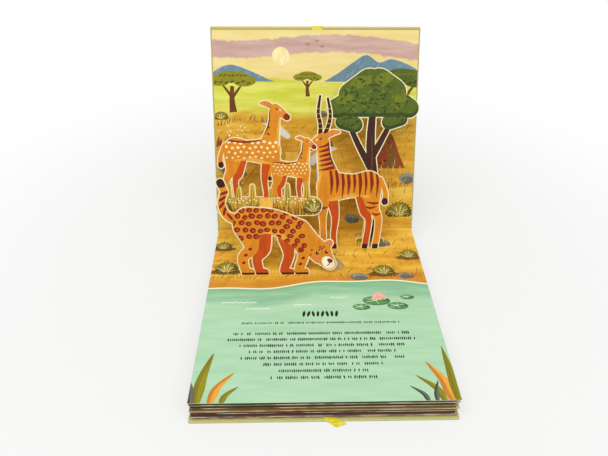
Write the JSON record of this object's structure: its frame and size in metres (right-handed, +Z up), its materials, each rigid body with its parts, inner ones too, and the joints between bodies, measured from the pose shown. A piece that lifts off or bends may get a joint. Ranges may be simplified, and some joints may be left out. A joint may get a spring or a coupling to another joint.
{
  "type": "pop-up book",
  "caption": "Hard-cover pop-up book standing open like a laptop, with die-cut card animals and a tree on the spread and ribbon ends at the fore edges.",
  "frame": {"origin": "middle of the lower cover's flat underside", "axes": "+Z up, +Y from the front fore edge back towards the spine, X across the spread"},
  "size_m": [0.2032, 0.3032, 0.1945],
  "materials": {
    "cover_board": "matte printed paper over board",
    "wrap_paper": "matte printed wrap paper",
    "leaf_card": "matte card, cut edges",
    "lower_print": "matte printed card",
    "upper_print": "matte printed card",
    "white_card": "matte uncoated card",
    "figure_card": "matte printed card, cream die-cut border",
    "satin_ribbon": "satin weave"
  },
  "bodies": {
    "lower_half": {"lower_cover": "cover_board", "spine": "cover_board", "lower_joint": "wrap_paper", "upper_joint": "wrap_paper", "page_block": "leaf_card", "lower_page": "lower_print", "tree_popup": "figure_card", "antelope_popup": "figure_card", "herd_popup": "figure_card", "cat_popup": "figure_card", "front_ribbon": "satin_ribbon"},
    "upper_half": {"upper_cover": "cover_board", "upper_page": "upper_print", "backing_leaf": "white_card", "top_ribbon": "satin_ribbon"}
  },
  "joints": [
    {"name": "cover_hinge", "type": "hinge", "parent": "lower_half", "child": "upper_half", "pos_m": [0, 0.10175, 0.0209], "axis": [1, 0, 0], "range_deg": [0, 117.5], "deforming": ["tree_popup", "antelope_popup", "herd_popup", "cat_popup", "upper_joint"]}
  ]
}
